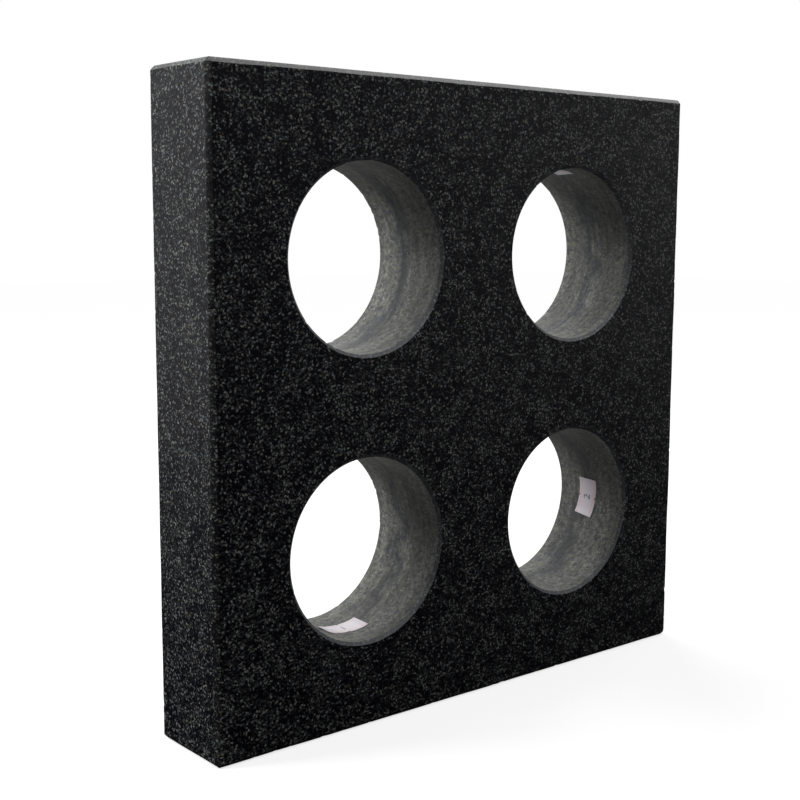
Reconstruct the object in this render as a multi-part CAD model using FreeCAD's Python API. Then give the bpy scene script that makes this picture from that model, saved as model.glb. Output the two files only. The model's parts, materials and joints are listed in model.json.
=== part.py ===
import FreeCAD, Part
import math
import os

from FreeCAD import Placement, Rotation, Vector

# Granite square: one block of black granite with lapped faces, four bores cored right
# through it, and three small paper labels stuck to the walls of three of the bores.
# Millimetres. The block stands on its base face with +Z up. +X runs along the front
# face to the right and +Y from the front face to the back one.
# The origin is the middle of the base face.

# Block
side_length = 300.0       # height and width, the two lengths that make the right angle
block_thickness = 48.0    # front face to back face
edge_chamfer = 2.0        # ground along all twelve edges, with a facet at each corner

# Bores, two columns by two rows
bore_diameter = 86.5
bore_pitch = 134.0        # between bore centres, across and up
bore_rise = 1.0           # the middle of the pattern above the middle of the block
rim_chamfer = 1.5         # at both mouths of every bore

# Paper labels, curved to the bore wall
label_length = 21.0       # round the wall
label_width = 12.0        # along the bore
label_thickness = 0.15    # paper and glue
notch_width = 1.6         # the V nicked into the middle of each long side
notch_depth = 1.0

# Where each label sits. Angles go round the bore from +X towards +Z.
# Offsets are along the bore from the middle of the block's thickness towards the back.
# A skew turns the label on the wall about its own middle.
lower_left_angle = -87.5
lower_left_offset = -1.4
lower_left_skew = 3.0
lower_right_angle = -3.5
lower_right_offset = 2.9
lower_right_skew = 4.0
upper_right_angle = 87.0
upper_right_offset = -3.4
upper_right_skew = -3.0

bore_radius = bore_diameter / 2
half_thickness = block_thickness / 2
LEFT, RIGHT = -1, 1
LOWER, UPPER = -1, 1


def bore_centre(column, row):
    """The point on a bore's axis that lies in the middle of the block's thickness."""
    pattern_height = side_length / 2 + bore_rise
    return Vector(column * bore_pitch / 2, 0, pattern_height + row * bore_pitch / 2)


def bore_cutter(column, row):
    """What the corer and the chamfering cone take out: a revolved bore with flared mouths."""
    mouth_radius = bore_radius + rim_chamfer
    wall_end = half_thickness - rim_chamfer
    clear = rim_chamfer
    profile = [
        Vector(0, -half_thickness - clear, 0),
        Vector(mouth_radius + clear, -half_thickness - clear, 0),
        Vector(bore_radius, -wall_end, 0),
        Vector(bore_radius, wall_end, 0),
        Vector(mouth_radius + clear, half_thickness + clear, 0),
        Vector(0, half_thickness + clear, 0),
    ]
    outline = Part.makePolygon(profile + profile[:1])
    cutter = Part.Face(outline).revolve(Vector(0, 0, 0), Vector(0, 1, 0), 360)
    cutter.translate(bore_centre(column, row))
    return cutter


def granite_block():
    """The block with chamfered edges and its four bores."""
    corner = Vector(-side_length / 2, -half_thickness, 0)
    block = Part.makeBox(side_length, block_thickness, side_length, corner)
    block = block.makeChamfer(edge_chamfer, block.Edges)
    for column in (LEFT, RIGHT):
        for row in (LOWER, UPPER):
            block = block.cut(bore_cutter(column, row))
    return block


def label_outline():
    """The label's outline with its two nicks, drawn square on to the bore wall.

    Local X runs round the wall and local Y along the bore. The wall's curve shortens
    the label's length to its chord.
    """
    half_chord = bore_radius * math.sin(label_length / 2 / bore_radius)
    half_width = label_width / 2
    half_notch = notch_width / 2
    nick = half_width - notch_depth
    points = [
        Vector(-half_chord, -half_width, 0),
        Vector(-half_notch, -half_width, 0),
        Vector(0, -nick, 0),
        Vector(half_notch, -half_width, 0),
        Vector(half_chord, -half_width, 0),
        Vector(half_chord, half_width, 0),
        Vector(half_notch, half_width, 0),
        Vector(0, nick, 0),
        Vector(-half_notch, half_width, 0),
        Vector(-half_chord, half_width, 0),
    ]
    return Part.makePolygon(points + points[:1])


def bore_label(column, row, angle, offset, skew):
    """A paper label lying on a bore wall: its outline cut from a skin of paper there."""
    along = Vector(0, block_thickness, 0)
    start = Vector(0, -half_thickness, 0)
    outside = Part.makeCylinder(bore_radius, block_thickness, start, along)
    inside = Part.makeCylinder(bore_radius - label_thickness, block_thickness, start, along)
    skin = outside.cut(inside)

    # The outline stands across +X at first, and is pushed out through the skin.
    stamp = Part.Face(label_outline()).extrude(Vector(0, 0, bore_radius * 2))
    stamp.rotate(Vector(0, 0, 0), Vector(0, 0, 1), skew)
    stamp.Placement = Placement(Vector(0, offset, 0), Rotation(Vector(0, 1, 0), 90)) * stamp.Placement
    label = skin.common(stamp)

    label.rotate(Vector(0, 0, 0), Vector(0, -1, 0), angle)
    label.translate(bore_centre(column, row))
    return label


parts = {
    "granite_block": granite_block(),
    "lower_left_label": bore_label(
        LEFT, LOWER, lower_left_angle, lower_left_offset, lower_left_skew),
    "lower_right_label": bore_label(
        RIGHT, LOWER, lower_right_angle, lower_right_offset, lower_right_skew),
    "upper_right_label": bore_label(
        RIGHT, UPPER, upper_right_angle, upper_right_offset, upper_right_skew),
}

os.makedirs("parts", exist_ok=True)
for name, shape in parts.items():
    solid = shape.Solids[0] if len(shape.Solids) == 1 else shape
    solid.exportStep("parts/" + name + ".step")
    box = solid.BoundBox
    print(name, "solids", len(shape.Solids), "valid", shape.isValid(),
          "volume %.1f mm3" % shape.Volume,
          "x %.2f to %.2f" % (box.XMin, box.XMax),
          "y %.2f to %.2f" % (box.YMin, box.YMax),
          "z %.2f to %.2f" % (box.ZMin, box.ZMax))
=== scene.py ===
# %% [markdown]
# # A granite square
# The object is one upright block of black granite, lapped flat on its faces and cored with four
# large bores, so that a hand or a clamp can reach through it. Three small paper labels lie on the
# bore walls. It can be drawn as a plain box with holes, but what makes it look like stone is the
# crystal pattern running through it and the different finish that each tool left: lapping,
# grinding and coring. So this lesson first works the shape as a mason would, and then the finish.

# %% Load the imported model
import json
import math

import bmesh
import bpy
from mathutils import Matrix, Vector, noise


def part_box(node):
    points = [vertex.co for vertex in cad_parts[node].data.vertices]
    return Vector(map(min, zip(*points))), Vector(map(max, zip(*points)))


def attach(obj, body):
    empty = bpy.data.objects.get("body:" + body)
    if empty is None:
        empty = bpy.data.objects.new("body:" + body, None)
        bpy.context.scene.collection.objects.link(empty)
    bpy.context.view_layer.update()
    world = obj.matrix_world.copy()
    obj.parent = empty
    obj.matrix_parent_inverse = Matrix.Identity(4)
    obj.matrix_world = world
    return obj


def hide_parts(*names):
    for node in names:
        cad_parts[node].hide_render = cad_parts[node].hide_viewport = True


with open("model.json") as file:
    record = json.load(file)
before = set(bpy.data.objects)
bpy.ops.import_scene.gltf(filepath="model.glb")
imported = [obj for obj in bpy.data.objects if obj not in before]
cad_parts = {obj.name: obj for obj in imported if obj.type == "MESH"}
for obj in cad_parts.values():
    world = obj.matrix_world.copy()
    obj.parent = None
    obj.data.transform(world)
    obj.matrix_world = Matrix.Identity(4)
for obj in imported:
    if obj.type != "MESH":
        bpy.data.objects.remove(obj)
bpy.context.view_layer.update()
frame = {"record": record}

# %% [markdown]
# ## Sizes
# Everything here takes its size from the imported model, so the drawn stone can't drift away from
# the real one. The block's box gives its side and thickness. The mounts give the four bores:
# their centres, radius and the length of the straight wall. Only what the model doesn't say, such
# as the width of the ground chamfer, is written here, in millimetres.

# %% Read the sizes
MM = 0.001
EDGE_CHAMFER = 2.0 * MM

block_low, block_high = (Vector(corner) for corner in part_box("granite_block"))
side = block_high.x - block_low.x
thickness = block_high.y - block_low.y
mounts = {mount["name"]: mount for mount in frame["record"]["mounts"]}
bores = {name: Vector(mount["pos_m"]) for name, mount in mounts.items() if name.endswith("_bore")}
bore_radius = mounts["lower_left_bore"]["dims"]["r_mm"] * MM
wall_length = mounts["lower_left_bore"]["dims"]["length_mm"] * MM
bore_pitch = bores["lower_right_bore"].x - bores["lower_left_bore"].x
pattern_height = (bores["lower_left_bore"].z + bores["upper_left_bore"].z) / 2
print(f"side {side / MM:.1f} mm, thickness {thickness / MM:.1f} mm, bores {2 * bore_radius / MM:.1f} mm")

# %% [markdown]
# ## Helpers for every node tree
# Materials and Geometry Nodes are both trees of nodes. One small function adds a node, sets its
# options and fills its inputs, either with a number or with a link from another node. The others
# empty a material's tree, turn sRGB hex colours into the linear ones that Blender works in, and
# start a tree of Geometry Nodes and run it on a piece.

# %% Helpers for nodes and colours
def add(tree, kind, inputs=None, **options):
    """Add a node to a tree, set its options, and fill or link its inputs."""
    node = tree.nodes.new(kind)
    for option, value in options.items():
        setattr(node, option, value)
    for key, value in (inputs or {}).items():
        if isinstance(value, bpy.types.NodeSocket):
            tree.links.new(value, node.inputs[key])
        else:
            node.inputs[key].default_value = value
    return node


def bare_tree(owner):
    """Switch on the node tree of a material or a world, and empty it."""
    owner.use_nodes = True
    owner.node_tree.nodes.clear()
    return owner.node_tree


def linear(code):
    """The linear colour of an sRGB hex value."""
    channels = [int(code[i:i + 2], 16) / 255 for i in (1, 3, 5)]
    return [c / 12.92 if c <= 0.04045 else ((c + 0.055) / 1.055) ** 2.4 for c in channels] + [1.0]


def new_tree(name, sockets):
    """A Geometry Nodes tree with a geometry input and output, and named inputs for its sizes."""
    tree = bpy.data.node_groups.new(name, "GeometryNodeTree")
    tree.interface.new_socket("Geometry", in_out="INPUT", socket_type="NodeSocketGeometry")
    for label, kind in sockets.items():
        tree.interface.new_socket(label, in_out="INPUT", socket_type="NodeSocket" + kind)
    tree.interface.new_socket("Geometry", in_out="OUTPUT", socket_type="NodeSocketGeometry")
    return tree


def run_tree(piece, tree, values):
    """Run a tree on a piece with these input values, and keep the result as a plain mesh."""
    modifier = piece.modifiers.new(tree.name, "NODES")
    modifier.node_group = tree
    for item in tree.interface.items_tree:
        if item.in_out == "INPUT" and item.name in values:
            modifier[item.identifier] = values[item.name]
    bpy.context.view_layer.update()
    evaluated = piece.evaluated_get(bpy.context.evaluated_depsgraph_get())
    mesh = bpy.data.meshes.new_from_object(evaluated)
    piece.modifiers.remove(modifier)
    mesh.name = piece.name
    piece.data = mesh


def new_piece(name, mesh):
    """An object at the origin that shows this mesh."""
    piece = bpy.data.objects.new(name, mesh)
    bpy.context.scene.collection.objects.link(piece)
    return piece


print("helpers are ready")

# %% [markdown]
# ## The camera
# The camera comes first, because every later choice is judged through it. It stands to the left
# of the block, a little below its top edge, as in the photograph. It was placed by fitting the
# block's outline and the light seen through the bores, which also gave the length of the lens.

# %% Place the camera
LENS = 59.28
VIEW_AZIMUTH = math.radians(-39.73)
VIEW_ELEVATION = math.radians(7.81)
VIEW_ROLL = math.radians(0.217)
VIEW_DISTANCE = 641.5 * MM
VIEW_TARGET = Vector((-29.06, 0, 148.18)) * MM

away = Vector((
    math.sin(VIEW_AZIMUTH) * math.cos(VIEW_ELEVATION),
    -math.cos(VIEW_AZIMUTH) * math.cos(VIEW_ELEVATION),
    math.sin(VIEW_ELEVATION),
))
camera_data = bpy.data.cameras.new("camera")
camera_data.lens = LENS
camera_data.sensor_width = 36
camera_data.clip_start = 0.01
camera = bpy.data.objects.new("camera", camera_data)
camera.location = VIEW_TARGET + away * VIEW_DISTANCE
turn = away.to_track_quat("Z", "Y").to_matrix() @ Matrix.Rotation(VIEW_ROLL, 3, "Z")
camera.rotation_euler = turn.to_euler()
bpy.context.scene.collection.objects.link(camera)
bpy.context.scene.camera = camera
print("camera at", [round(value, 4) for value in camera.location])

# %% [markdown]
# ## Granite, and the crystals in it
# Black granite is really gabbro: thin pale laths of feldspar, up to 2 mm long, lie every way in a
# nearly black ground. The laths run through the whole stone, so they are drawn in space, not on
# the surface, and carry on round each edge. A Voronoi texture scatters one point in each cell.
# About each point the space is turned by a random angle and squeezed into a flat lens, and where
# a surface cuts the lens, a lath shows. Wide noise thins the laths here and crowds them there.

# %% The crystal pattern, shared by every granite finish
LATH = Vector((2.3, 1.15, 0.75))      # length, breadth and thickness of a crystal, mm
CELL = 1.3                           # one crystal to a cell this wide, mm
LAYERS = 2                           # patterns laid over each other, so that laths can cross
LAYER_SHIFT = Vector((17.3, 5.9, 41.7))   # from one pattern to the next, mm
CLUSTER = 11.0                       # crowded and thin patches are this far apart, mm
RAGGED = 0.8                         # how far the outline of a lath is pushed about, mm
RAGGED_SCALE = 1.4                   # and how often it turns, per mm
SPIN = 40.0                          # a random share times this is a lath's turn, in radians
FEW_BRIGHT = 2.8                     # a power: the higher it is, the fewer laths are bright
DIMMEST = 0.08                       # how bright the dimmest lath is, as a share


def crystals(tree):
    """A point's place in the stone in mm, and how much it is lath, from 0 to 1."""
    place = add(tree, "ShaderNodeTexCoord").outputs["Object"]
    mm = add(tree, "ShaderNodeVectorMath", {0: place, "Scale": 1 / MM}, operation="SCALE").outputs[0]
    rough = add(tree, "ShaderNodeTexNoise", {
        "Vector": mm, "Scale": RAGGED_SCALE, "Detail": 1.0}).outputs["Color"]
    ragged = add(tree, "ShaderNodeVectorMath", {0: rough, 1: (RAGGED, RAGGED, RAGGED), 2: mm},
                 operation="MULTIPLY_ADD").outputs[0]
    cloud = add(tree, "ShaderNodeTexNoise", {"Vector": mm, "Scale": 1 / CLUSTER, "Detail": 2.0,
                                             "Roughness": 0.6}).outputs["Fac"]

    # Where the clouds are thin, 4 cells in 10 hold a lath, and where they are thick, all do.
    crowd = add(tree, "ShaderNodeMapRange", {0: cloud, 1: 0.36, 2: 0.64, 3: 0.4, 4: 1.0}).outputs[0]
    most = None
    for layer in range(LAYERS):
        moved = add(tree, "ShaderNodeVectorMath", {0: ragged, 1: LAYER_SHIFT * layer},
                    operation="ADD").outputs[0]

        # A cell's random colour says whether it holds a lath, how bright and how far turned.
        cell = add(tree, "ShaderNodeTexVoronoi", {"Vector": moved, "Scale": 1 / CELL})
        chance = add(tree, "ShaderNodeSeparateColor", {0: cell.outputs["Color"]})
        offset = add(tree, "ShaderNodeVectorMath", {0: moved, 1: cell.outputs["Position"]},
                     operation="SUBTRACT").outputs[0]
        axis = add(tree, "ShaderNodeVectorMath", {0: cell.outputs["Color"], 1: (0.5, 0.5, 0.5)},
                   operation="SUBTRACT").outputs[0]
        angle = add(tree, "ShaderNodeMath", {0: chance.outputs[2], 1: SPIN},
                    operation="MULTIPLY").outputs[0]
        turned = add(tree, "ShaderNodeVectorRotate", {"Vector": offset, "Axis": axis, "Angle": angle},
                     rotation_type="AXIS_ANGLE").outputs[0]
        lens = add(tree, "ShaderNodeVectorMath", {0: turned, 1: [2 / size for size in LATH]},
                   operation="MULTIPLY").outputs[0]

        # The reach is 1 at the outline, and the lath fades in across it.
        reach = add(tree, "ShaderNodeVectorMath", {0: lens}, operation="LENGTH").outputs["Value"]
        inside = add(tree, "ShaderNodeMapRange", {0: reach, 1: 1.2, 2: 0.3, 3: 0.0, 4: 1.0}).outputs[0]
        there = add(tree, "ShaderNodeMath", {0: chance.outputs[0], 1: crowd},
                    operation="LESS_THAN").outputs[0]
        bright = add(tree, "ShaderNodeMath", {0: chance.outputs[1], 1: FEW_BRIGHT},
                     operation="POWER").outputs[0]
        bright = add(tree, "ShaderNodeMapRange", {0: bright, 3: DIMMEST, 4: 1.0}).outputs[0]
        lath = add(tree, "ShaderNodeMath", {0: inside, 1: bright}, operation="MULTIPLY").outputs[0]
        lath = add(tree, "ShaderNodeMath", {0: lath, 1: there}, operation="MULTIPLY").outputs[0]
        most = lath if most is None else add(
            tree, "ShaderNodeMath", {0: most, 1: lath}, operation="MAXIMUM").outputs[0]
    return mm, most


print("crystals", tuple(LATH), "mm, in cells of", CELL, "mm")

# %% [markdown]
# ## Four finishes of one stone
# Lapping with fine grit leaves black granite dense and satin, so the ground between the laths is
# nearly black. A grinding disc leaves the chamfers slightly paler, and the cone that flares the
# mouths of the bores leaves them dark grey and dull. A diamond corer bruises the crystals, so a
# bore wall is light grey, dull, and lined round with the marks of the core barrel. Granite's index
# of refraction is about 1.55, and its roughness goes from 0.4 to 0.9. The scratches that grit
# leaves are under 0.1 mm wide, too fine to show here, so they are drawn about 0.5 mm wide.

# %% Make the granite materials
GRAIN_SCALE = 2.2            # the grit's marks, drawn coarser than they are so that they show, per mm
TINT_SCALE = 0.5             # laths change from warm to cool grey over about 2 mm, per mm


def granite(name, ground, lath, mottle, roughness, shine, grain_depth):
    """One finish of the stone: colours of its ground and laths, its mottles per mm, and its surface."""
    material = bpy.data.materials.new(name)
    tree = bare_tree(material)
    mm, share = crystals(tree)
    fine = add(tree, "ShaderNodeTexNoise", {
        "Vector": mm, "Scale": GRAIN_SCALE, "Detail": 2.0}).outputs["Fac"]
    patch = add(tree, "ShaderNodeTexNoise", {
        "Vector": mm, "Scale": mottle, "Detail": 3.0}).outputs["Fac"]
    patch = add(tree, "ShaderNodeMapRange", {0: patch, 1: 0.3, 2: 0.7}).outputs[0]
    base = add(tree, "ShaderNodeMix", {0: patch, 6: linear(ground[0]), 7: linear(ground[1])},
               data_type="RGBA").outputs[2]
    tint = add(tree, "ShaderNodeTexNoise", {
        "Vector": mm, "Scale": TINT_SCALE, "Detail": 0.0}).outputs["Fac"]
    tint = add(tree, "ShaderNodeMapRange", {0: tint, 1: 0.35, 2: 0.65}).outputs[0]
    pale = add(tree, "ShaderNodeMix", {0: tint, 6: linear(lath[0]), 7: linear(lath[1])},
               data_type="RGBA").outputs[2]
    colour = add(tree, "ShaderNodeMix", {0: share, 6: base, 7: pale}, data_type="RGBA").outputs[2]
    bump = add(tree, "ShaderNodeBump", {
        "Strength": 0.6, "Distance": grain_depth, "Height": fine}).outputs[0]
    dull = add(tree, "ShaderNodeMapRange", {0: share, 3: roughness, 4: roughness + 0.1}).outputs[0]
    shader = add(tree, "ShaderNodeBsdfPrincipled", {
        "Base Color": colour, "Roughness": dull, "IOR": 1.55,
        "Specular IOR Level": shine, "Normal": bump})
    add(tree, "ShaderNodeOutputMaterial", {"Surface": shader.outputs[0]})
    return material, tree, colour, shader


lapped, *_ = granite("black granite, lapped satin", ("#020207", "#05060b"), ("#7f7d75", "#747a7d"),
                     mottle=1.0, roughness=0.45, shine=0.09, grain_depth=0.02 * MM)
ground, *_ = granite("black granite, ground chamfer", ("#060609", "#0e0e12"), ("#7b7a6c", "#6c7674"),
                     mottle=1.0, roughness=0.42, shine=0.3, grain_depth=0.06 * MM)
cored, cored_tree, cored_colour, cored_shader = granite(
    "black granite, diamond cored", ("#27282e", "#5a5a51"), ("#7e7e77", "#787c80"),
    mottle=0.45, roughness=0.8, shine=0.4, grain_depth=0.12 * MM)
mouth, *_ = granite("black granite, cone ground", ("#1b1d23", "#34353a"), ("#74746f", "#6c7278"),
                    mottle=1.0, roughness=0.6, shine=0.4, grain_depth=0.08 * MM)
print("granite finishes:", [material.name for material in (lapped, ground, mouth, cored)])

# %% [markdown]
# On the bore walls the barrel also leaves rings, and a dark bluish band where the cut from the
# front met the cut from the back. Noise that is stretched across the bore and packed tight along
# it draws the rings, because it then changes mostly with depth. The band follows depth as well,
# and slow noise lets it wander.

# %% Add the marks of the corer
RING_SCALE = (30.0, 320.0, 30.0)   # a ring about every 3 mm along the bore, per metre
ZONE_SCALE = (14.0, 90.0, 14.0)    # paler and darker zones about 11 mm wide, per metre
BAND_TINT = (0.38, 0.40, 0.48, 1)  # what the band where the cuts met does to the colour


def ring_marks(tree, colour, shader):
    """Darken a cored wall in rings and in the band where the two cuts met."""
    place = add(tree, "ShaderNodeTexCoord").outputs["Object"]
    rings = add(tree, "ShaderNodeMapping", {"Vector": place, "Scale": RING_SCALE}).outputs[0]
    marks = add(tree, "ShaderNodeTexNoise", {
        "Vector": rings, "Scale": 1.0, "Detail": 3.0}).outputs["Fac"]
    zones = add(tree, "ShaderNodeMapping", {"Vector": place, "Scale": ZONE_SCALE}).outputs[0]
    sway = add(tree, "ShaderNodeTexNoise", {
        "Vector": zones, "Scale": 1.0, "Detail": 2.0}).outputs["Fac"]
    shade = add(tree, "ShaderNodeMapRange", {0: marks, 1: 0.3, 2: 0.7, 3: 0.78, 4: 1.2}).outputs[0]
    deep = add(tree, "ShaderNodeMapRange", {0: sway, 1: 0.35, 2: 0.6, 3: 0.72, 4: 1.22}).outputs[0]
    both = add(tree, "ShaderNodeMath", {0: shade, 1: deep}, operation="MULTIPLY").outputs[0]
    scaled = add(tree, "ShaderNodeVectorMath", {0: colour, "Scale": both}, operation="SCALE").outputs[0]
    slow = add(tree, "ShaderNodeTexNoise", {
        "Vector": place, "Scale": 45.0, "Detail": 5.0}).outputs["Fac"]
    wander = add(tree, "ShaderNodeMapRange", {
        0: slow, 1: 0.3, 2: 0.7, 3: -5 * MM, 4: 15 * MM}).outputs[0]
    depth = add(tree, "ShaderNodeSeparateXYZ", {0: place}).outputs[1]
    off = add(tree, "ShaderNodeMath", {0: depth, 1: wander}, operation="SUBTRACT").outputs[0]
    off = add(tree, "ShaderNodeMath", {0: off}, operation="ABSOLUTE").outputs[0]
    ragged = add(tree, "ShaderNodeMath", {0: marks, 1: 14 * MM, 2: off},
                 operation="MULTIPLY_ADD").outputs[0]
    band = add(tree, "ShaderNodeMapRange", {
        0: ragged, 1: 8 * MM, 2: 15 * MM, 3: 1.0, 4: 0.0}).outputs[0]
    dark = add(tree, "ShaderNodeMix", {0: band, 6: (1, 1, 1, 1), 7: BAND_TINT},
               data_type="RGBA").outputs[2]
    banded = add(tree, "ShaderNodeVectorMath", {0: scaled, 1: dark}, operation="MULTIPLY").outputs[0]
    tree.links.new(banded, shader.inputs["Base Color"])


ring_marks(cored_tree, cored_colour, cored_shader)
print("ring marks are on", cored.name)

# %% [markdown]
# ## The slab
# The mason saws a slab, grinds a 2 mm chamfer along all twelve edges by hand and laps the faces.
# A bevel would give perfectly even chamfers. Here each point of a plain box is mapped instead:
# near an edge it is drawn towards the slab's core until the distances along X, Y and Z add up to
# the chamfer. Adding them gives flat chamfers with a small facet at each corner, and a power just
# over 1 rounds them a little, as hand grinding does. Slow noise lets the width wander, and the
# rare peaks of a finer noise widen it into the small nicks that stone gets along its edges.

# %% Build the slab
WANDER = 0.13            # how much the chamfer's width changes, as a share of it
WANDER_LENGTH = 23 * MM  # and over what distance
NICK = 1.6 * MM          # scales the small nicks, which are rare and up to 0.4 mm wide
NICK_LENGTH = 2.6 * MM
NICK_PEAK = 0.38         # only noise above this makes a nick
CROWN = 1.12             # 1 is a flat chamfer and 2 a round edge
STRIP = 3                # rows of faces in each half of a chamfer
STEP = 1.2 * MM          # spacing of the points along an edge
FACE_ROWS = 8            # rows of faces from the front chamfer to the back one
SAME_POINT = 1e-6        # points closer than this are one, m
half = Vector((side / 2, thickness / 2, side / 2))
middle = Vector((0, 0, side / 2))


def dressed(point):
    """Where a point of the plain box lies once the edges are ground. Measured from the middle."""
    core = Vector([min(abs(p), h - EDGE_CHAMFER) for p, h in zip(point, half)])
    beyond = Vector([(abs(p) - c) / EDGE_CHAMFER for p, c in zip(point, core)])
    signs = Vector([math.copysign(1, p) for p in point])
    spot = Vector([s * c for s, c in zip(signs, core)])
    width = EDGE_CHAMFER * (1 + WANDER * noise.noise(spot / WANDER_LENGTH))
    width += NICK * max(0, noise.noise(spot / NICK_LENGTH) - NICK_PEAK)
    near = [c > h - EDGE_CHAMFER - SAME_POINT for c, h in zip(core, half)]
    core = Vector([h - width if n else c for c, h, n in zip(core, half, near)])
    total = sum(b ** CROWN for b in beyond) ** (1 / CROWN)
    return Vector([s * (c + b * width / total) for s, c, b in zip(signs, core, beyond)])


def spread(reach):
    """Positions from -reach to reach: fine in the chamfers, and evenly spaced between them."""
    strip = [reach - EDGE_CHAMFER * i / STRIP for i in range(STRIP)]
    flat = reach - EDGE_CHAMFER
    count = max(2, round(2 * flat / STEP))
    even = [flat - 2 * flat * i / count for i in range(count + 1)]
    return strip + even + [-value for value in reversed(strip)]


def slab():
    """The slab as a band round its four narrow faces, closed by a front and a back face."""
    depths = [half.y - EDGE_CHAMFER * i / STRIP for i in range(STRIP + 1)]
    flat = depths[-1]
    rows = [(half.y, EDGE_CHAMFER * (STRIP - i) / STRIP) for i in range(STRIP)]
    rows += [(depth, 0) for depth in depths]
    rows += [(flat - 2 * flat * i / FACE_ROWS, 0) for i in range(1, FACE_ROWS)]
    rows += [(-depth, 0) for depth in reversed(depths)]
    rows += [(-half.y, EDGE_CHAMFER * (i + 1) / STRIP) for i in range(STRIP)]
    along = spread(half.x)[:-1]
    columns = [(quarter, value) for quarter in range(4) for value in along]
    bm = bmesh.new()
    grid = []
    for depth, inset in rows:
        ring = []
        for quarter, value in columns:
            reach = half.x - inset
            flat_point = Vector((reach, max(-reach, min(reach, value))))
            flat_point.rotate(Matrix.Rotation(-quarter * math.pi / 2, 2))
            point = dressed(Vector((flat_point.x, depth, flat_point.y)))
            ring.append(bm.verts.new(point + middle))
        grid.append(ring)
    for upper, lower in zip(grid, grid[1:]):
        for i in range(len(columns)):
            j = (i + 1) % len(columns)
            bm.faces.new((upper[i], upper[j], lower[j], lower[i]))
    bmesh.ops.remove_doubles(bm, verts=bm.verts, dist=SAME_POINT)
    bmesh.ops.dissolve_degenerate(bm, edges=bm.edges, dist=1e-7)
    open_edges = [edge for edge in bm.edges if edge.is_boundary]
    bmesh.ops.holes_fill(bm, edges=open_edges, sides=0)
    bmesh.ops.recalc_face_normals(bm, faces=bm.faces)
    mesh = bpy.data.meshes.new("slab")
    bm.to_mesh(mesh)
    bm.free()
    return mesh


block = new_piece("cored_block", slab())
block.data.materials.append(lapped)
print("slab:", len(block.data.polygons), "faces")

# %% [markdown]
# ## Coring the four bores
# A bore could be cut with a modifier for each hole. A node tree says it once for all four: a 2 by
# 2 grid gives the centres, one core barrel is copied to each, and a Boolean cuts them out. The
# barrel is a cylinder with many rings of points, so that it can carry its real marks: flared ends
# for the chamfered mouths, slight waves, nicks at the rims, and the step where the two cuts met.

# %% Stand a barrel at each bore
def barrels_at_bores(tree, size):
    """A barrel along Y at each point of an upright 2 by 2 grid."""
    barrel = add(tree, "GeometryNodeMeshCylinder", {
        "Vertices": size["Barrel points"], "Side Segments": size["Barrel rings"],
        "Radius": size["Bore radius"], "Depth": size["Barrel length"]},
        fill_type="NGON").outputs["Mesh"]
    pattern = add(tree, "GeometryNodeMeshGrid", {
        "Size X": size["Bore pitch"], "Size Y": size["Bore pitch"],
        "Vertices X": 2, "Vertices Y": 2}).outputs[0]
    lift = add(tree, "ShaderNodeCombineXYZ", {2: size["Pattern height"]}).outputs[0]
    quarter_turn = (math.pi / 2, 0, 0)
    upright = add(tree, "GeometryNodeTransform", {
        "Geometry": pattern, "Translation": lift, "Rotation": quarter_turn}).outputs[0]
    four = add(tree, "GeometryNodeInstanceOnPoints", {
        "Points": upright, "Instance": barrel, "Rotation": quarter_turn}).outputs[0]
    return add(tree, "GeometryNodeRealizeInstances", {"Geometry": four}).outputs[0]


def bore_offsets(tree, size):
    """Each point's way out from the axis of the bore in its own quarter, and its depth."""
    place = add(tree, "GeometryNodeInputPosition").outputs[0]
    lift = add(tree, "ShaderNodeCombineXYZ", {2: size["Pattern height"]}).outputs[0]
    spot = add(tree, "ShaderNodeVectorMath", {0: place, 1: lift}, operation="SUBTRACT").outputs[0]
    quarter = add(tree, "ShaderNodeVectorMath", {0: spot}, operation="SIGN").outputs[0]
    pitch = add(tree, "ShaderNodeCombineXYZ", {
        0: size["Bore pitch"], 2: size["Bore pitch"]}).outputs[0]
    reach = add(tree, "ShaderNodeVectorMath", {0: pitch, "Scale": 0.5}, operation="SCALE").outputs[0]
    axis = add(tree, "ShaderNodeVectorMath", {0: quarter, 1: reach}, operation="MULTIPLY").outputs[0]
    gap = add(tree, "ShaderNodeVectorMath", {0: spot, 1: axis}, operation="SUBTRACT").outputs[0]
    flat = add(tree, "ShaderNodeVectorMath", {0: gap, 1: (1, 0, 1)}, operation="MULTIPLY").outputs[0]
    outward = add(tree, "ShaderNodeVectorMath", {0: flat}, operation="NORMALIZE").outputs[0]
    depth = add(tree, "ShaderNodeSeparateXYZ", {0: place}).outputs[1]
    return outward, depth


print("a barrel stands at", [tuple(round(value, 3) for value in centre) for centre in bores.values()])

# %% [markdown]
# All the marks push the barrel outwards, so no bore gets tighter than the real one. The mouths
# flare by as much as a point lies beyond the straight wall, and they are nicked. Waves run round
# the wall, and the second cut is a step wider than the first.

# %% Give the barrels their marks
RIM_STRIP = 0.2 * MM         # nicks begin this far inside the edge of the straight wall
SPECK_SCALE = 340.0          # nicks come about 3 mm apart, per metre
SPECK_PEAK = 0.62            # only noise above this makes a nick
WAVE_SCALE = (25, 330, 25)   # waves about 3 mm apart along the bore, per metre
SWAY_SCALE = 18.0            # the line where the cuts met wanders slowly, per metre
SWAY = 3 * MM                # and this far each way


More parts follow.
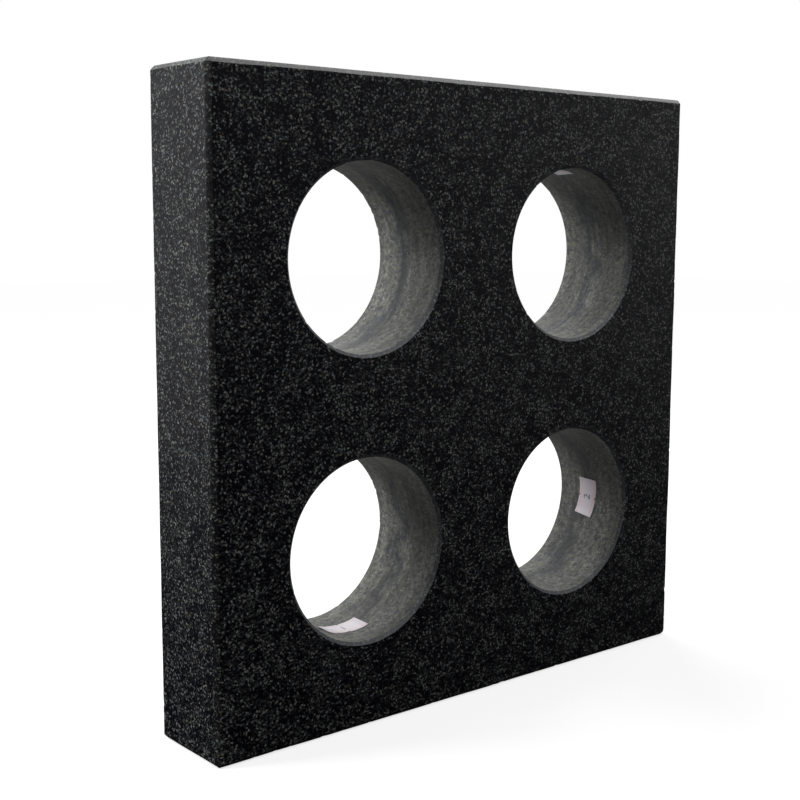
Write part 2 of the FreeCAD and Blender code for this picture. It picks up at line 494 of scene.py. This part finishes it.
def relief(tree, size, outward, depth):
    """Which way and how far each point of a barrel is pushed."""
    place = add(tree, "GeometryNodeInputPosition").outputs[0]
    from_middle = add(tree, "ShaderNodeMath", {0: depth}, operation="ABSOLUTE").outputs[0]
    beyond = add(tree, "ShaderNodeMath", {0: from_middle, 1: size["Half wall"]},
                 operation="SUBTRACT").outputs[0]
    flare = add(tree, "ShaderNodeMath", {0: beyond, 1: 0.0}, operation="MAXIMUM").outputs[0]
    specks = add(tree, "ShaderNodeTexNoise", {
        "Vector": place, "Scale": SPECK_SCALE, "Detail": 2.0}).outputs["Fac"]
    peaks = add(tree, "ShaderNodeMapRange", {0: specks, 1: SPECK_PEAK, 2: 1.0}).outputs[0]
    at_mouth = add(tree, "ShaderNodeMapRange", {
        0: beyond, 1: -RIM_STRIP, 2: 0.0, 3: 0.0, 4: size["Nick"]}).outputs[0]
    grow = add(tree, "ShaderNodeMath", {0: peaks, 1: at_mouth, 2: flare},
               operation="MULTIPLY_ADD").outputs[0]

    rings = add(tree, "ShaderNodeVectorMath", {0: place, 1: WAVE_SCALE}, operation="MULTIPLY").outputs[0]
    waves = add(tree, "ShaderNodeTexNoise", {
        "Vector": rings, "Scale": 1.0, "Detail": 2.0}).outputs["Fac"]
    grow = add(tree, "ShaderNodeMath", {0: waves, 1: size["Wave"], 2: grow},
               operation="MULTIPLY_ADD").outputs[0]

    slow = add(tree, "ShaderNodeTexNoise", {
        "Vector": place, "Scale": SWAY_SCALE, "Detail": 2.0}).outputs["Fac"]
    sway = add(tree, "ShaderNodeMapRange", {0: slow, 1: 0.3, 2: 0.7, 3: -SWAY, 4: SWAY}).outputs[0]
    met = add(tree, "ShaderNodeMath", {0: size["Step depth"], 1: sway}, operation="ADD").outputs[0]
    past = add(tree, "ShaderNodeMath", {0: depth, 1: met}, operation="GREATER_THAN").outputs[0]
    grow = add(tree, "ShaderNodeMath", {0: past, 1: size["Step"], 2: grow},
               operation="MULTIPLY_ADD").outputs[0]
    return add(tree, "ShaderNodeVectorMath", {0: outward, "Scale": grow}, operation="SCALE").outputs[0]


print("nicks come about", round(1 / SPECK_SCALE / MM, 1), "mm apart")

# %% [markdown]
# A face knows its finish from the way it looks. Lapped faces look along an axis and chamfers
# don't. A flared mouth looks partly at the axis of its bore, and the straight wall right at it.

# %% Sort the faces by their finish
SHARP = math.radians(25)     # an edge that turns by more than this stays crisp
ALONG_AXIS = 0.9995          # a face that looks less squarely than this along an axis is a chamfer
FLARED = -0.45               # how squarely a flared mouth looks at the axis of its bore, at least
STRAIGHT = -0.85             # and how squarely the straight wall does


def crisp_edges(tree, cut):
    """Shade a mesh smooth, but keep its sharp edges crisp."""
    angle = add(tree, "GeometryNodeInputMeshEdgeAngle").outputs["Unsigned Angle"]
    sharp = add(tree, "ShaderNodeMath", {0: angle, 1: SHARP}, operation="GREATER_THAN").outputs[0]
    smooth = add(tree, "GeometryNodeSetShadeSmooth", {
        "Geometry": cut, "Shade Smooth": True}).outputs[0]
    return add(tree, "GeometryNodeSetShadeSmooth", {
        "Geometry": smooth, "Selection": sharp, "Shade Smooth": False}, domain="EDGE").outputs[0]


def with_finishes(tree, size, cut, outward):
    """Give each face of the cut stone the finish that its tool left."""
    normal = add(tree, "GeometryNodeInputNormal").outputs[0]
    facing = add(tree, "ShaderNodeVectorMath", {0: normal}, operation="ABSOLUTE").outputs[0]
    x, y, z = add(tree, "ShaderNodeSeparateXYZ", {0: facing}).outputs
    most = add(tree, "ShaderNodeMath", {0: x, 1: y}, operation="MAXIMUM").outputs[0]
    most = add(tree, "ShaderNodeMath", {0: most, 1: z}, operation="MAXIMUM").outputs[0]
    bevelled = add(tree, "ShaderNodeMath", {0: most, 1: ALONG_AXIS}, operation="LESS_THAN").outputs[0]
    inwards = add(tree, "ShaderNodeVectorMath", {0: normal, 1: outward},
                  operation="DOT_PRODUCT").outputs["Value"]
    flared = add(tree, "ShaderNodeMath", {0: inwards, 1: FLARED}, operation="LESS_THAN").outputs[0]
    wall = add(tree, "ShaderNodeMath", {0: inwards, 1: STRAIGHT}, operation="LESS_THAN").outputs[0]
    done = add(tree, "GeometryNodeRealizeInstances", {"Geometry": cut}).outputs[0]
    for where, finish in (
            (True, "Lapped"), (bevelled, "Ground"), (flared, "Mouth"), (wall, "Cored")):
        done = add(tree, "GeometryNodeSetMaterial", {
            "Geometry": done, "Selection": where, "Material": size[finish]}).outputs[0]
    return done


print("edges stay crisp above", round(math.degrees(SHARP)), "degrees")

# %% [markdown]
# The tree puts these steps together. It has a named input for each size and finish, so another
# square would need only other values. Its result is kept as a plain mesh.

# %% Core the block
BARREL_LENGTH = 51 * MM      # reaches 1.5 mm past each face of the block
BARREL_RINGS = 51            # one to each millimetre
BARREL_POINTS = 256          # round the bore
WAVE_HEIGHT = 0.10 * MM
CUT_STEP = 0.18 * MM         # how much wider the second cut is
CUT_DEPTH = 2.0 * MM         # where the cuts met, behind the middle of the block
MOUTH_NICK = 1.6 * MM        # scales the nicks at the mouths


def coring_tree():
    """Cut four bores with flared mouths out of a slab, and give each face its finish."""
    tree = new_tree("core the stone", {
        "Bore radius": "Float", "Bore pitch": "Float", "Pattern height": "Float",
        "Half wall": "Float", "Barrel length": "Float", "Barrel rings": "Int",
        "Barrel points": "Int", "Wave": "Float", "Step": "Float", "Step depth": "Float",
        "Nick": "Float", "Lapped": "Material", "Ground": "Material", "Mouth": "Material",
        "Cored": "Material"})
    given = add(tree, "NodeGroupInput")
    size = {socket.name: socket for socket in given.outputs}
    outward, depth = bore_offsets(tree, size)
    marked = add(tree, "GeometryNodeSetPosition", {
        "Geometry": barrels_at_bores(tree, size),
        "Offset": relief(tree, size, outward, depth)}).outputs[0]
    bored = add(tree, "GeometryNodeMeshBoolean", {
        "Mesh 1": given.outputs["Geometry"], "Mesh 2": marked},
        operation="DIFFERENCE", solver="MANIFOLD").outputs["Mesh"]
    done = with_finishes(tree, size, crisp_edges(tree, bored), outward)
    add(tree, "NodeGroupOutput", {"Geometry": done})
    return tree


run_tree(block, coring_tree(), {
    "Bore radius": bore_radius, "Bore pitch": bore_pitch, "Pattern height": pattern_height,
    "Half wall": wall_length / 2, "Barrel length": BARREL_LENGTH, "Barrel rings": BARREL_RINGS,
    "Barrel points": BARREL_POINTS, "Wave": WAVE_HEIGHT, "Step": CUT_STEP,
    "Step depth": CUT_DEPTH, "Nick": MOUTH_NICK,
    "Lapped": lapped, "Ground": ground, "Mouth": mouth, "Cored": cored})
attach(block, "root")
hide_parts("granite_block")
print("cored block:", len(block.data.polygons), "faces,", [m.name for m in block.data.materials])

# %% [markdown]
# ## Label paper and pen ink
# The labels are coated paper with a thin red line printed along each long side. The coating makes
# them smooth but not glossy. The lines are drawn from the label's own UV map, in millimetres, so
# they follow the paper however it is bent. A pen left a plain number on each.

# %% Make the paper and the ink
LABEL_LENGTH = 21.0          # mm
LABEL_WIDTH = 12.0           # mm
PRINTED_LINE = 0.55          # how wide a printed line is, mm
PRINTED_INSET = 1.5          # how far it lies in from the long side, mm
BLOT_SCALE = 1.3             # the print takes unevenly, in patches under 1 mm, per mm
FIBRE_SCALE = 9.0            # paper fibres, about 0.1 mm, per mm
INK_SCALE = 2500.0           # the ink wears in specks of 0.4 mm, per metre

paper = bpy.data.materials.new("label paper, coated and printed")
tree = bare_tree(paper)
flat_uv = add(tree, "ShaderNodeTexCoord").outputs["UV"]
on_sheet = add(tree, "ShaderNodeMapping", {
    "Vector": flat_uv, "Scale": (LABEL_LENGTH, LABEL_WIDTH, 1)}).outputs[0]
across = add(tree, "ShaderNodeSeparateXYZ", {0: on_sheet}).outputs[1]
from_side = add(tree, "ShaderNodeMath", {0: across, 1: LABEL_WIDTH / 2},
                operation="PINGPONG").outputs[0]
line = add(tree, "ShaderNodeMath", {0: from_side, 1: PRINTED_INSET, 2: PRINTED_LINE / 2},
           operation="COMPARE").outputs[0]
blot = add(tree, "ShaderNodeTexNoise", {
    "Vector": on_sheet, "Scale": BLOT_SCALE, "Detail": 3.0}).outputs["Fac"]
inked = add(tree, "ShaderNodeMapRange", {0: blot, 1: 0.35, 2: 0.6, 3: 0.15, 4: 0.8}).outputs[0]
ink_share = add(tree, "ShaderNodeMath", {0: line, 1: inked}, operation="MULTIPLY").outputs[0]
sheet = add(tree, "ShaderNodeMix", {0: blot, 6: linear("#a39da4"), 7: linear("#bab5bb")},
            data_type="RGBA").outputs[2]
printed = add(tree, "ShaderNodeMix", {0: ink_share, 6: sheet, 7: linear("#c47c78")},
              data_type="RGBA").outputs[2]
fibres = add(tree, "ShaderNodeTexNoise", {
    "Vector": on_sheet, "Scale": FIBRE_SCALE, "Detail": 2.0}).outputs["Fac"]
bump = add(tree, "ShaderNodeBump", {
    "Strength": 0.3, "Distance": 0.01 * MM, "Height": fibres}).outputs[0]
shader = add(tree, "ShaderNodeBsdfPrincipled", {
    "Base Color": printed, "Roughness": 0.5, "IOR": 1.5, "Normal": bump})
add(tree, "ShaderNodeOutputMaterial", {"Surface": shader.outputs[0]})

ink = bpy.data.materials.new("pen ink, dried")
tree = bare_tree(ink)
place = add(tree, "ShaderNodeTexCoord").outputs["Object"]
worn = add(tree, "ShaderNodeTexNoise", {
    "Vector": place, "Scale": INK_SCALE, "Detail": 1.0}).outputs["Fac"]
tone = add(tree, "ShaderNodeMix", {0: worn, 6: linear("#20252b"), 7: linear("#4a5058")},
           data_type="RGBA").outputs[2]
shader = add(tree, "ShaderNodeBsdfPrincipled", {"Base Color": tone, "Roughness": 0.45, "IOR": 1.5})
add(tree, "ShaderNodeOutputMaterial", {"Surface": shader.outputs[0]})
print("label materials:", paper.name, "and", ink.name)

# %% [markdown]
# ## Three labels on the bore walls
# Each label is a strip of paper pressed on to the wall. A V is nicked into the middle of each long
# side, and there the paper has given way, so that one half points a few degrees off the other.
# One node tree bends all three. It starts from a thin flat box, takes the UV map while the paper
# is still flat, and draws the points near the middle in towards the long axis for the nicks. The
# number is filled, given a back, and laid just clear of the paper.

# %% Make the flat paper and its number
INK_HEIGHT = 0.02 * MM       # how thick the ink lies
INK_CLEARANCE = 0.01 * MM    # and how far clear of the paper, so that neither hides the other


def nicked_paper(tree, size, place):
    """A thin box of paper with its UV map, drawn in at the nicks."""
    box = add(tree, "ShaderNodeCombineXYZ", {
        0: size["Length"], 1: size["Width"], 2: size["Thickness"]}).outputs[0]
    flat = add(tree, "GeometryNodeMeshCube", {
        "Size": box, "Vertices X": 57, "Vertices Y": 25, "Vertices Z": 2}).outputs["Mesh"]
    share = add(tree, "ShaderNodeVectorMath", {0: place, 1: box}, operation="DIVIDE").outputs[0]
    share = add(tree, "ShaderNodeVectorMath", {0: share, 1: (0.5, 0.5, 0.5)},
                operation="ADD").outputs[0]
    flat = add(tree, "GeometryNodeStoreNamedAttribute", {
        "Geometry": flat, "Name": "UVMap", "Value": share},
        data_type="FLOAT2", domain="CORNER").outputs[0]
    flat = add(tree, "GeometryNodeSetMaterial", {
        "Geometry": flat, "Material": size["Paper"]}).outputs[0]
    x, y, z = add(tree, "ShaderNodeSeparateXYZ", {0: place}).outputs
    from_nick = add(tree, "ShaderNodeMath", {0: x}, operation="ABSOLUTE").outputs[0]
    waist = add(tree, "ShaderNodeMapRange", {
        0: from_nick, 1: 0.0, 2: size["Nick"], 3: size["Waist"], 4: 1.0}).outputs[0]
    narrow = add(tree, "ShaderNodeMath", {0: y, 1: waist}, operation="MULTIPLY").outputs[0]
    nicked = add(tree, "ShaderNodeCombineXYZ", {0: x, 1: narrow, 2: z}).outputs[0]
    return add(tree, "GeometryNodeSetPosition", {"Geometry": flat, "Position": nicked}).outputs[0]


def pen_number(tree, size):
    """A number as thick as ink, closed all round and lying on the flat paper."""
    text = add(tree, "GeometryNodeStringToCurves", {
        "String": size["Number"], "Size": size["Number height"]},
        align_x="CENTER", align_y="MIDDLE").outputs[0]
    text = add(tree, "GeometryNodeRealizeInstances", {"Geometry": text}).outputs[0]
    face = add(tree, "GeometryNodeFillCurve", {"Curve": text}).outputs[0]
    face = add(tree, "GeometryNodeSubdivideMesh", {"Mesh": face, "Level": 1}).outputs[0]
    raised = add(tree, "GeometryNodeExtrudeMesh", {
        "Mesh": face, "Offset": (0, 0, 1), "Offset Scale": INK_HEIGHT,
        "Individual": False}).outputs[0]
    back = add(tree, "GeometryNodeFlipFaces", {"Mesh": face}).outputs[0]
    closed = add(tree, "GeometryNodeJoinGeometry", {"Geometry": raised})
    tree.links.new(back, closed.inputs[0])
    closed = add(tree, "GeometryNodeMergeByDistance", {
        "Geometry": closed.outputs[0], "Distance": SAME_POINT}).outputs[0]
    on_paper = add(tree, "ShaderNodeMath", {0: size["Thickness"], 1: 0.5, 2: INK_CLEARANCE},
                   operation="MULTIPLY_ADD").outputs[0]
    lift = add(tree, "ShaderNodeCombineXYZ", {2: on_paper}).outputs[0]
    number = add(tree, "GeometryNodeTransform", {"Geometry": closed, "Translation": lift}).outputs[0]
    return add(tree, "GeometryNodeSetMaterial", {
        "Geometry": number, "Material": size["Ink"]}).outputs[0]


print("the ink lies", INK_HEIGHT / MM, "mm thick")

# %% [markdown]
# Next the label is turned on the wall, with a different turn for the half beyond the nicks, and
# only then rolled on to the round wall: the way along the label becomes an angle round the bore.
# Its ends have lifted by a hair.

# %% Roll a label on to a wall
BEND_HALF = 0.5 * MM         # the turn changes over this length on each side of the nicks
CURL_START = 7 * MM          # the ends lift from here
CURL_END = 10.5 * MM         # to here, measured from the middle


def on_the_wall(tree, size, place):
    """Where each point of the flat label lies once it is turned, bent and rolled on."""
    x = add(tree, "ShaderNodeSeparateXYZ", {0: place}).outputs[0]
    turn = add(tree, "ShaderNodeMapRange", {
        0: x, 1: BEND_HALF, 2: -BEND_HALF, 3: size["Skew"], 4: size["Second skew"]}).outputs[0]
    turned = add(tree, "ShaderNodeVectorRotate", {"Vector": place, "Angle": turn},
                 rotation_type="Z_AXIS").outputs[0]
    round_wall, along_bore, z = add(tree, "ShaderNodeSeparateXYZ", {0: turned}).outputs
    end = add(tree, "ShaderNodeMath", {0: x}, operation="ABSOLUTE").outputs[0]
    lift = add(tree, "ShaderNodeMapRange", {
        0: end, 1: CURL_START, 2: CURL_END, 3: 0.0, 4: size["Curl"]},
        interpolation_type="SMOOTHSTEP").outputs[0]
    above = add(tree, "ShaderNodeMath", {0: size["Thickness"], 1: 0.5, 2: z},
                operation="MULTIPLY_ADD").outputs[0]
    above = add(tree, "ShaderNodeMath", {0: above, 1: lift}, operation="ADD").outputs[0]
    radius = add(tree, "ShaderNodeMath", {0: size["Wall radius"], 1: above},
                 operation="SUBTRACT").outputs[0]
    angle = add(tree, "ShaderNodeMath", {0: round_wall, 1: size["Wall radius"]},
                operation="DIVIDE").outputs[0]
    angle = add(tree, "ShaderNodeMath", {0: angle, 1: size["Angle"]}, operation="ADD").outputs[0]
    spoke = add(tree, "ShaderNodeCombineXYZ", {0: radius, 1: along_bore}).outputs[0]
    rolled = add(tree, "ShaderNodeVectorRotate", {"Vector": spoke, "Angle": angle},
                 rotation_type="Y_AXIS", invert=True).outputs[0]
    return add(tree, "ShaderNodeVectorMath", {0: rolled, 1: size["Axis"]}, operation="ADD").outputs[0]


def label_tree():
    """A nicked paper label with a number on it, rolled on to the wall of a bore."""
    tree = new_tree("stick a label on a wall", {
        "Length": "Float", "Width": "Float", "Thickness": "Float", "Nick": "Float",
        "Waist": "Float", "Skew": "Float", "Second skew": "Float", "Wall radius": "Float",
        "Angle": "Float", "Axis": "Vector", "Curl": "Float", "Number": "String",
        "Number height": "Float", "Paper": "Material", "Ink": "Material"})
    size = {socket.name: socket for socket in add(tree, "NodeGroupInput").outputs}
    place = add(tree, "GeometryNodeInputPosition").outputs[0]
    both = add(tree, "GeometryNodeJoinGeometry", {"Geometry": nicked_paper(tree, size, place)})
    tree.links.new(pen_number(tree, size), both.inputs[0])
    stuck = add(tree, "GeometryNodeSetPosition", {
        "Geometry": both.outputs[0], "Position": on_the_wall(tree, size, place)}).outputs[0]
    whole = add(tree, "GeometryNodeRealizeInstances", {"Geometry": stuck}).outputs[0]
    add(tree, "NodeGroupOutput", {"Geometry": whole})
    return tree


sticking = label_tree()
print("label tree:", len(sticking.nodes), "nodes")

# %% [markdown]
# The tree's inputs hold what the three labels share and what sets them apart. Each label sits at
# its own angle round the wall and its own depth, and is skewed a few degrees, as a hand left it.

# %% Stick the labels
NICK_DEPTH = 1.0             # how deep each V is, mm
NICK_HALF_WIDTH = 0.8 * MM
PAPER_THICKNESS = 0.1 * MM
END_LIFT = 0.3 * MM          # how far the ends have come away from the wall
NUMBER_HEIGHT = 6.5 * MM
LABELS = {
    # bore, angle round the wall, depth, skew and bend in degrees, number
    "lower_left_label": ("lower_left_bore", -87.5, -1.4 * MM, -4.0, -5.0, "1"),
    "lower_right_label": ("lower_right_bore", -3.5, 2.4 * MM, -3.5, -5.0, "2"),
    "upper_right_label": ("upper_right_bore", 87.0, -3.4 * MM, 3.0, 4.0, "3"),
}
for node, (bore, angle, depth, skew, bend, number) in LABELS.items():
    label = new_piece(node.replace("_label", "_paper"), bpy.data.meshes.new(node))
    label.data.materials.append(paper)
    run_tree(label, sticking, {
        "Length": LABEL_LENGTH * MM, "Width": LABEL_WIDTH * MM, "Thickness": PAPER_THICKNESS,
        "Nick": NICK_HALF_WIDTH, "Waist": 1 - 2 * NICK_DEPTH / LABEL_WIDTH,
        "Skew": math.radians(skew), "Second skew": math.radians(skew + bend),
        "Wall radius": bore_radius, "Angle": math.radians(angle),
        "Axis": bores[bore] + Vector((0, depth, 0)), "Curl": END_LIFT, "Number": number,
        "Number height": NUMBER_HEIGHT, "Paper": paper, "Ink": ink})
    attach(label, "root")
    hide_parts(node)
    print(label.name, len(label.data.polygons), "faces")

# %% [markdown]
# ## Floor, backdrop and light
# The stone stands on a pale floor in front of a white backdrop. Their white is for the camera and
# for reflections: a Light Path node gives them a little glow of their own there, while the light
# that they throw on the stone stays low. So the background is white and the stone isn't flooded.
# The floor is still a lit surface. Its glow is weaker near the block, where the lamps light it, so
# it keeps the block's shadow, faint as it is. The strongest of four soft lights hangs beyond the
# left shoulder of the block, which is why its left face is the brightest. One behind it shines
# down through the bores, and two above draw its ground edges as thin pale lines.

# %% Set the floor, the backdrop and the lights
GLOW_NEAR, NEAR = 0.74, 0.3  # how much the floor glows, up to this far from the origin, m
GLOW_FAR, FAR = 0.94, 1.5    # and from this far on, m
FLOOR_REACH = 4.0            # half the width of the floor, m
BACKDROP_LIGHT = 0.17        # what the white backdrop throws on the stone


def seen_directly(tree):
    """1 for rays from the camera, and for those that a mirror or a glass passes on."""
    path = add(tree, "ShaderNodeLightPath").outputs
    mirrored = add(tree, "ShaderNodeMath", {
        0: path["Is Glossy Ray"], 1: path["Is Transmission Ray"]}, operation="MAXIMUM").outputs[0]
    return add(tree, "ShaderNodeMath", {
        0: path["Is Camera Ray"], 1: mirrored}, operation="MAXIMUM").outputs[0]


floor_material = bpy.data.materials.new("painted studio floor")
tree = bare_tree(floor_material)
place = add(tree, "ShaderNodeTexCoord").outputs["Object"]
distance = add(tree, "ShaderNodeVectorMath", {0: place}, operation="LENGTH").outputs["Value"]
dimmed = add(tree, "ShaderNodeMapRange", {
    0: distance, 1: NEAR, 2: FAR, 3: GLOW_NEAR, 4: GLOW_FAR}).outputs[0]
glowing = add(tree, "ShaderNodeMath", {0: dimmed, 1: seen_directly(tree)},
              operation="MULTIPLY").outputs[0]
pale = add(tree, "ShaderNodeBsdfDiffuse", {"Color": linear("#949494")}).outputs[0]
glow = add(tree, "ShaderNodeEmission", {"Color": (1, 1, 1, 1), "Strength": glowing}).outputs[0]
both = add(tree, "ShaderNodeAddShader", {0: pale, 1: glow}).outputs[0]
add(tree, "ShaderNodeOutputMaterial", {"Surface": both})

bm = bmesh.new()
bmesh.ops.create_grid(bm, x_segments=2, y_segments=2, size=FLOOR_REACH)
floor_mesh = bpy.data.meshes.new("floor")
bm.to_mesh(floor_mesh)
bm.free()
floor_mesh.materials.append(floor_material)
floor = new_piece("floor", floor_mesh)

world = bpy.data.worlds.new("white backdrop")
bpy.context.scene.world = world
tree = bare_tree(world)
level = add(tree, "ShaderNodeMapRange", {
    0: seen_directly(tree), 3: BACKDROP_LIGHT, 4: 1.0}).outputs[0]
backdrop = add(tree, "ShaderNodeBackground", {"Color": (1, 1, 1, 1), "Strength": level}).outputs[0]
add(tree, "ShaderNodeOutputWorld", {"Surface": backdrop})


def soft_light(name, place, aim, width, power):
    """A square soft light at a place, facing a point."""
    data = bpy.data.lights.new(name, "AREA")
    data.shape = "SQUARE"
    data.size = width
    data.energy = power
    lamp = bpy.data.objects.new(name, data)
    lamp.location = place
    lamp.rotation_euler = (Vector(place) - Vector(aim)).to_track_quat("Z", "Y").to_euler()
    bpy.context.scene.collection.objects.link(lamp)


soft_light("left_light", (-0.65, 0.35, 0.72), (0, 0, 0.15), 0.4, 11.0)
soft_light("back_light", (0.50, 0.90, 0.85), (0, 0, 0.15), 0.6, 7.0)
soft_light("top_light", (0.55, -0.10, 0.95), (0, 0, 0.25), 0.6, 3.4)
soft_light("front_light", (-0.15, -0.32, 0.90), (0, 0, 0.25), 0.4, 3.0)
print("floor, backdrop and four soft lights are set")

# %% [markdown]
# Black stone shows what it reflects more than its own colour. Photographers stand black cards in
# front of it, outside the picture, so that a polished face reflects them and stays black. Two
# stand here, in front and to the left. Two more lie on the floor, right up to the foot of the
# stone, or its lowest chamfers would reflect the white floor. These cards are seen by reflections
# alone: they throw no shadow and hide nothing from a camera.

# %% Set the black cards
CARD_HEIGHT = 0.9            # m
CARD_LIFT = 0.0003           # keeps a card that lies down just clear of the floor, m

card_material = bpy.data.materials.new("black card, matt")
tree = bare_tree(card_material)
shader = add(tree, "ShaderNodeBsdfPrincipled", {
    "Base Color": linear("#0a0a0a"), "Specular IOR Level": 0.0})
add(tree, "ShaderNodeOutputMaterial", {"Surface": shader.outputs[0]})


def black_card(name, corners):
    """A card with these four corners that only reflections see."""
    mesh = bpy.data.meshes.new(name)
    mesh.from_pydata(corners, [], [(0, 1, 2, 3)])
    mesh.materials.append(card_material)
    card = new_piece(name, mesh)
    for rays in ("camera", "diffuse", "transmission", "volume_scatter", "shadow"):
        setattr(card, "visible_" + rays, False)


def standing(start, end):
    """The corners of an upright card that stands on the line between two points of the floor."""
    return [(*start, 0), (*end, 0), (*end, CARD_HEIGHT), (*start, CARD_HEIGHT)]


def lying(low_x, high_x, low_y, high_y):
    """The corners of a card that lies on the floor."""
    flat = [(low_x, low_y), (high_x, low_y), (high_x, high_y), (low_x, high_y)]
    return [(x, y, CARD_LIFT) for x, y in flat]


black_card("front_card", standing((-2.2, -1.0), (0.88, -1.0)))
black_card("left_card", standing((-2.2, -1.0), (-2.2, -0.2)))
black_card("left_floor_card", lying(-0.8, -0.147, -0.02, 0.75))
black_card("front_floor_card", lying(-2.2, 1.6, -1.0, -0.021))
print("four black cards are set")

# %% [markdown]
# ## Last setting
# The drawn stone has to stay inside the box of the model that it stands for. The view transform
# is set to Standard, so that colours render as they are written.

# %% Set the view transform
bpy.context.scene.view_settings.view_transform = "Standard"
